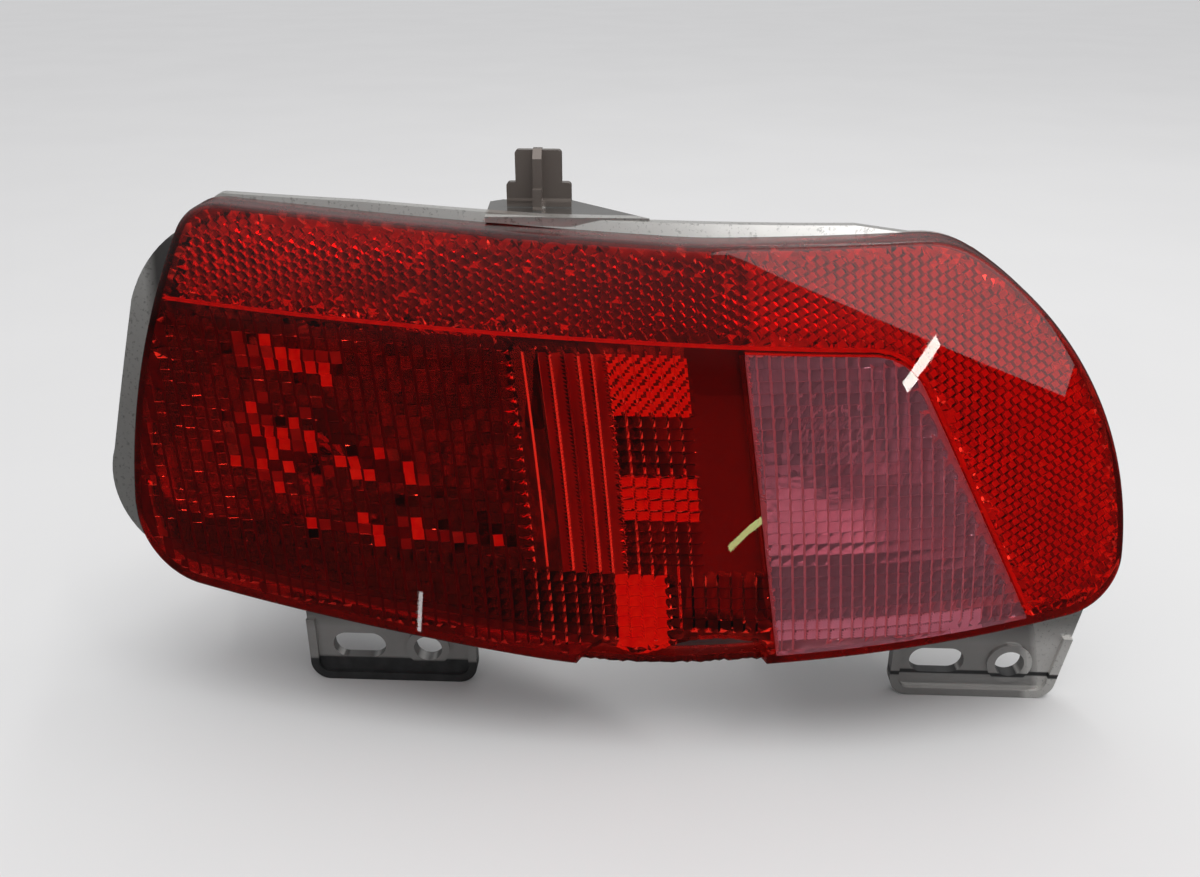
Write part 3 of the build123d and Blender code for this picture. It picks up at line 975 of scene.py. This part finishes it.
# Painted reflection: a paler, less clear copy of the window acrylic for the bright bar
BAR = acrylic("pale_bar_painted_reflection_look", (0.95, 0.58, 0.68), (1.0, 0.66, 0.76), 0.3).material

# Painted shade: a darker copy of the acrylic for the rounded rim and the skirt, with weaker reflections
m = acrylic("red_edge_painted_shade_look", (0.20, 0.004, 0.003), (0.26, 0.006, 0.004))
m.set(Roughness=m.remap(m.noise(220.0, 5.0), 0.4, 0.8, 0.20, 0.34), Specular_IOR_Level=0.25)
EDGE = m.material

# Painted glints: a nearly opaque, bright orange-red copy of the acrylic
m = acrylic("red_painted_glint_look", (0.95, 0.07, 0.02), (1.0, 0.10, 0.03), 0.05)
m.set(Base_Color=m.tones(m.noise(330.0, 1.0), (0.95, 0.07, 0.015), (1.0, 0.24, 0.05), 0.35, 0.65))
PAINTED_GLINT = m.material

m = Look("red_stripe_look", IOR=1.49, Roughness=0.3, Transmission_Weight=0.4)
m.set(Base_Color=m.tones(m.noise(300.0, 3.0), (0.75, 0.10, 0.10), (0.90, 0.16, 0.15)))
STRIPE = m.material

# Painted shade: a dark copy of the acrylic without reflections, for walls and dark cells
m = Look("red_painted_shade_look", Roughness=0.6, Specular_IOR_Level=0.0)
m.set(Base_Color=m.tones(m.noise(300.0, 3.0), (0.10, 0.004, 0.003), (0.15, 0.007, 0.005)))
PAINTED_SHADE = m.material

m = Look("bulb_glass_look", IOR=1.5, Transmission_Weight=1.0)
m.set(Base_Color=m.tones(m.noise(90.0), (0.94, 0.95, 0.95), (1.0, 1.0, 1.0)))
m.set(Roughness=m.remap(m.noise(300.0), 0.4, 0.8, 0.0, 0.04))
GLASS = m.material

CAP = metal_look("nickel_cap_look", (0.62, 0.58, 0.50), (0.74, 0.70, 0.62), 0.28, 160.0)
TUNGSTEN = metal_look("tungsten_look", (0.30, 0.29, 0.28), (0.42, 0.40, 0.38), 0.4, 400.0)
BRASS = metal_look("brass_look", (0.62, 0.44, 0.18), (0.74, 0.55, 0.26), 0.26, 180.0)
INSULATOR = plastic_look("insulator_look", (0.018, 0.012, 0.016), (0.035, 0.026, 0.032), 0.2, 140.0, 0.0001)
HOLDER = plastic_look("holder_plastic_look", (0.010, 0.010, 0.011), (0.020, 0.020, 0.021), 0.5, 120.0, 0.0002)
RUBBER = plastic_look("seal_rubber_look", (0.012, 0.012, 0.012), (0.026, 0.025, 0.024), 0.8, 200.0, 0.0003)

# Housing: black moulding with a worn metal coat on its front; places are in metres in the row's frame
COAT_LINE_Z = -0.0038
TAB_X, TAB_Z, TAB_HALF = -0.0484, 0.1244, 0.012
CHAMBER_TOP = (0.114, 0.117)
CHAMBER_LEFT = (-0.154, -0.150)
CHAMBER_FOOT, FOOT_LEAN = (0.0100, 0.0110), 0.1077
DIVIDER_AT, DIVIDER_LEAN = 0.0178, 0.1487
HULL_LEFT = (-0.1640, -0.1625)
BRACKET_BACK = (0.0035, 0.0045)
FOG_AXIS = (-0.1095, 0.0468)
REVERSING_AXIS = (0.0400, 0.0548)
PROFILE_SLOPE, PROFILE_BEND = 0.1663, 0.0007
BOWL_DEPTH = (10.9, 11.6)
DECK_BACK = (13.0, 14.0)
# The grey of the painted shade in the fog chamber and on the bowls
SHADE_GREY = (0.10, 0.095, 0.095)

m = Look("metallised_housing_look")
x, y, z = (m.split(m.object, axis) for axis in range(3))
divide = m.plus(x, m.times(z, DIVIDER_LEAN))

# How far a place lies behind the lens face, in millimetres
aside = m.minus(m.times(x, 1000.0), float(APEX_X + SHIFT[0]))
bend_left, bend_right = 0.5 / PLAN_LEFT, 0.5 / PLAN_RIGHT
bend = m.plus(m.times(m.maths("GREATER_THAN", aside, 0.0), bend_right - bend_left), bend_left)
up = m.minus(m.times(z, 1000.0), float(SHIFT[2]))
crown = m.times(up, m.plus(m.times(up, PROFILE_BEND), PROFILE_SLOPE))
behind = m.minus(m.times(y, 1000.0), float(SHIFT[1]))
behind = m.minus(m.minus(behind, crown), m.times(aside, aside, bend))
bowl = m.rise(behind, *BOWL_DEPTH)

# The coat ends at a line across the left bracket, and the right one has only a stripe there
ended = m.remap(z, COAT_LINE_Z - 0.0007, COAT_LINE_Z + 0.0003, 0.0, 1.0, "SMOOTHSTEP")
stripe = m.rise(m.maths("ABSOLUTE", m.minus(z, COAT_LINE_Z)), 0.0005, 0.0009)
right = m.maths("GREATER_THAN", x, 0.0)
coat = m.plus(m.times(right, stripe), m.times(m.without(right), ended))
coat = m.times(m.fall(m.facing(1), 0.25, 0.5), coat)

# The outside of the bowls and collars, which face away from their bulb's axis, stays black
reversing = m.maths("GREATER_THAN", divide, DIVIDER_AT)
from_axis = [
    m.minus(place, m.plus(m.times(reversing, second - first), first))
    for place, first, second in zip((x, z), FOG_AXIS, REVERSING_AXIS)
]
outward = m.plus(m.times(from_axis[0], m.facing(0)), m.times(from_axis[1], m.facing(2)))
outside = m.times(m.rise(outward, 0.001, 0.003), m.rise(y, *BRACKET_BACK), m.rise(behind, *DECK_BACK))
outside = m.times(outside, m.rise(x, *HULL_LEFT), m.fall(z, *CHAMBER_TOP))
coat = m.times(coat, m.without(outside))

# Painted shade: the fog chamber's metal darkens deeper behind the lens, and the bowls are darkened to dim
# their reflections; the locator is brown
# Painted shade inside the fog chamber, from about 3 mm behind the lens face, up to the divider
chamber_shade = m.rise(m.plus(z, m.times(x, FOOT_LEAN)), *CHAMBER_FOOT)
chamber_shade = m.times(m.remap(behind, 3.0, 3.6, 0.0, 0.95), chamber_shade)
chamber_shade = m.times(chamber_shade, m.fall(z, *CHAMBER_TOP), m.rise(x, *CHAMBER_LEFT))
chamber_shade = m.times(chamber_shade, m.fall(divide, DIVIDER_AT - 0.0013, DIVIDER_AT + 0.0012))
cloud = m.noise(45.0, 4.0)
specks = m.rise(m.noise(900.0, 6.0, roughness=0.7), 0.56, 0.64)
tab = m.fall(m.maths("ABSOLUTE", m.minus(x, TAB_X)), TAB_HALF - 0.0005, TAB_HALF + 0.0005)
tab = m.times(tab, m.rise(z, TAB_Z - 0.0002, TAB_Z + 0.0002))
metal = m.tones(cloud, (0.60, 0.59, 0.57), (0.78, 0.77, 0.75), 0.25, 0.75)
# Painted shade: the metal turns to the shade grey in the chamber, and a little over half way on the bowls
metal = m.mix(m.maths("MAXIMUM", chamber_shade, m.times(bowl, 0.55)), metal, SHADE_GREY)
metal = m.mix(m.times(specks, m.minus(0.45, m.times(bowl, 0.4))), metal, (0.10, 0.095, 0.09))
metal = m.mix(tab, metal, (0.24, 0.205, 0.185))
black = m.tones(m.noise(260.0, 6.0), (0.018, 0.018, 0.019), (0.042, 0.042, 0.044))
worn = m.times(m.remap(z, 0.006, 0.014, 0.35, 0.85), m.without(m.times(tab, 0.55)))
dull = m.plus(m.times(m.without(bowl), m.remap(cloud, 0.3, 0.7, 0.36, 0.28)), m.times(bowl, 0.05))
dull = m.plus(m.times(coat, dull), m.times(m.without(coat), 0.48))
m.set(Base_Color=m.mix(coat, black, metal), Metallic=m.times(coat, worn), Roughness=dull)
m.bump(m.noise(1400.0, 3.0), 0.05, 0.0001)
HOUSING = m.material

looks = {"housing": HOUSING}
for name in ("fog", "reversing"):
    looks[f"{name}_bulb_glass"] = GLASS
    looks[f"{name}_bulb_cap"] = CAP
    looks[f"{name}_bulb_insulator"] = INSULATOR
    looks[f"{name}_bulb_filament"] = TUNGSTEN
    looks[f"{name}_holder"] = HOLDER
    looks[f"{name}_holder_seal"] = RUBBER
    looks[f"{name}_holder_terminals"] = BRASS
for name, look in looks.items():
    nodes[name].data.materials.clear()
    nodes[name].data.materials.append(look)
for piece, slots in ((red_lens, (RED, EDGE, PAINTED_GLINT, PAINTED_SHADE, PAINTED_GLOW)), (window_lens, (PALE, STRIPE, BAR))):
    for look in slots:
        piece.data.materials.append(look)

# Camera
forward = Vector(
    (-math.sin(AZIMUTH) * math.cos(ELEVATION), math.cos(AZIMUTH) * math.cos(ELEVATION), -math.sin(ELEVATION))
)
camera = bpy.data.objects.new("camera", bpy.data.cameras.new("camera"))
camera.data.sensor_fit = "HORIZONTAL"
camera.data.sensor_width = 36.0
camera.data.lens = 36.0 * FOCAL_PX / FRAME_W
camera.data.clip_start = 0.01
camera.data.clip_end = 60.0
camera.location = CAM
camera.rotation_euler = forward.to_track_quat("-Z", "Y").to_euler()
scene.collection.objects.link(camera)
scene.camera = camera

# Floor
FLOOR_Z = float(cad_box[0][2]) - 0.0001
floor_mesh = bpy.data.meshes.new("floor")
floor_mesh.from_pydata(
    [(-6, -3, FLOOR_Z), (6, -3, FLOOR_Z), (6, 9, FLOOR_Z), (-6, 9, FLOOR_Z)], [], [(0, 1, 2, 3)]
)
floor = bpy.data.objects.new("floor", floor_mesh)
scene.collection.objects.link(floor)
m = Look("floor_look", Roughness=0.7, Specular_IOR_Level=0.0)
m.set(Base_Color=m.tones(m.noise(6.0), (0.79, 0.79, 0.80), (0.81, 0.81, 0.82)))
floor_mesh.materials.append(m.material)
floor.visible_glossy = False

# World: pale behind the object, a soft dome for the floor, dim in reflections
world = bpy.data.worlds.new("studio")
scene.world = world
world.use_nodes = True
w = Tree(world.node_tree)
path = w.add("ShaderNodeLightPath").outputs
steep = w.split(w.add("ShaderNodeTexCoord").outputs["Generated"], 2)
height = w.maths("MAXIMUM", steep, 0.0)


def dome_light(low, high, curve=1.0):
    """Grey that grows from the horizon to straight up."""
    return w.remap(w.maths("POWER", height, curve), 0.0, 1.0, low, high)


level = w.mix(path["Is Transmission Ray"], dome_light(0.02, 1.50, 2.0), dome_light(0.05, 1.55, 2.0))
mirror = w.mix(w.maths("LESS_THAN", steep, 0.0), dome_light(0.04, 1.40), (0.05, 0.05, 0.05))
level = w.mix(path["Is Glossy Ray"], level, mirror)
level = w.mix(path["Is Camera Ray"], level, (0.66, 0.67, 0.68))
w.feed(w.tree.nodes["Background"].inputs["Color"], level)
w.feed(w.tree.nodes["Background"].inputs["Strength"], 1.0)


# Lamps
def softbox(name, at, towards, size_x, size_y, radiance, colour=(1, 1, 1), along=None):
    """A rectangular lamp of a given brightness."""
    data = bpy.data.lights.new(name, "AREA")
    data.shape = "RECTANGLE"
    data.size = size_x
    data.size_y = size_y
    data.color = colour
    data.energy = radiance * math.pi * size_x * size_y
    lamp = bpy.data.objects.new(name, data)
    lamp.location = at
    aim = (Vector(towards) - Vector(at)).normalized()
    if along is None:
        lamp.rotation_euler = aim.to_track_quat("-Z", "Y").to_euler()
    else:
        side = (along - aim * along.dot(aim)).normalized()
        up = (-aim).cross(side)
        turn = Matrix((side, up, -aim)).transposed()
        lamp.rotation_euler = turn.to_euler()
    scene.collection.objects.link(lamp)
    return lamp


def mirrored(px, py):
    """Where the camera ray through a pixel meets the lens face, and the direction it reflects to."""
    right = forward.cross(Vector((0, 0, 1))).normalized()
    up = right.cross(forward)
    ray = forward + right * ((px - FRAME_W / 2) / FOCAL_PX) - up * ((py - FRAME_H / 2) / FOCAL_PX)
    ray = np.array(ray.normalized())
    eye = np.array(CAM) * 1000 - SHIFT

    def miss(s):
        p = eye + ray * s
        return p[1] - float(face_y(p[0], p[2]))

    near_s, far_s = 120.0, 420.0
    for _ in range(50):
        mid = (near_s + far_s) / 2
        if miss(mid) < 0:
            near_s = mid
        else:
            far_s = mid
    p = eye + ray * near_s
    e = 0.01
    slope_x = float(face_y(p[0] + e, p[2]) - face_y(p[0] - e, p[2])) / (2 * e)
    slope_z = float(face_y(p[0], p[2] + e) - face_y(p[0], p[2] - e)) / (2 * e)
    n = np.array((slope_x, -1.0, slope_z))
    n /= np.linalg.norm(n)
    out = ray - 2 * ray.dot(n) * n
    return Vector((p + SHIFT) * 0.001), Vector(out)


def streak(name, a, b, width_px, radiance, colour, reach=1.6):
    """A tube lamp whose mirror image on the lens runs between two pixels."""
    (p, m1), (q, m2) = mirrored(*a), mirrored(*b)
    start, end = p + m1 * reach, q + m2 * reach
    length = (end - start).length
    width = length * width_px / math.dist(a, b)
    lamp = softbox(name, (start + end) / 2, (p + q) / 2, length, width, radiance, colour, end - start)
    lamp.visible_diffuse = False
    lamp.visible_transmission = False


def heading(azimuth, elevation, reach):
    """A point in a direction from the lens, azimuth from straight ahead to the right."""
    a, e = math.radians(azimuth), math.radians(elevation)
    centre = Vector((0.0, -0.015, 0.075))
    return centre + reach * Vector((math.sin(a) * math.cos(e), -math.cos(a) * math.cos(e), math.sin(e)))


AIM = (0.0, 0.0, 0.05)
TUBE_LENGTH, TUBE_WIDTH, TUBE_RADIANCE = 1.2, 0.045, 14.0
for name, at in (("tube_a", (0.30, 0.10, 1.20)), ("tube_b", (0.40, -0.20, 1.20))):
    softbox(name, at, AIM, TUBE_LENGTH, TUBE_WIDTH, TUBE_RADIANCE, (1.0, 0.99, 0.96))
softbox("front", (0.05, -1.25, 0.80), AIM, 1.2, 0.7, 0.25, (1.0, 0.99, 0.98))
streak("tube", (905, 388), (938, 340), 12.0, 22.0, (1.0, 1.0, 0.92))
streak("ghost", (729, 549), (761, 518), 6.0, 11.0, (0.75, 0.95, 0.38))
streak("slit", (421, 592), (419, 640), 4.0, 9.0, (1.0, 1.0, 1.0))

# A pale wall to the right, whose edge crosses the upper right of the lens
left_end, right_end = heading(0.0, 12.6, 2.0), heading(58.0, -5.6, 2.0)
run = right_end - left_end
middle = (left_end + right_end) / 2
rise = (Vector((0, 0, 1)) - run * (run.z / run.length_squared)).normalized()
wall = softbox("wall", middle + rise * 0.5, heading(0, 0, 0.0), run.length, 1.0, 1.7, (1, 1, 1), run)
wall.visible_diffuse = False
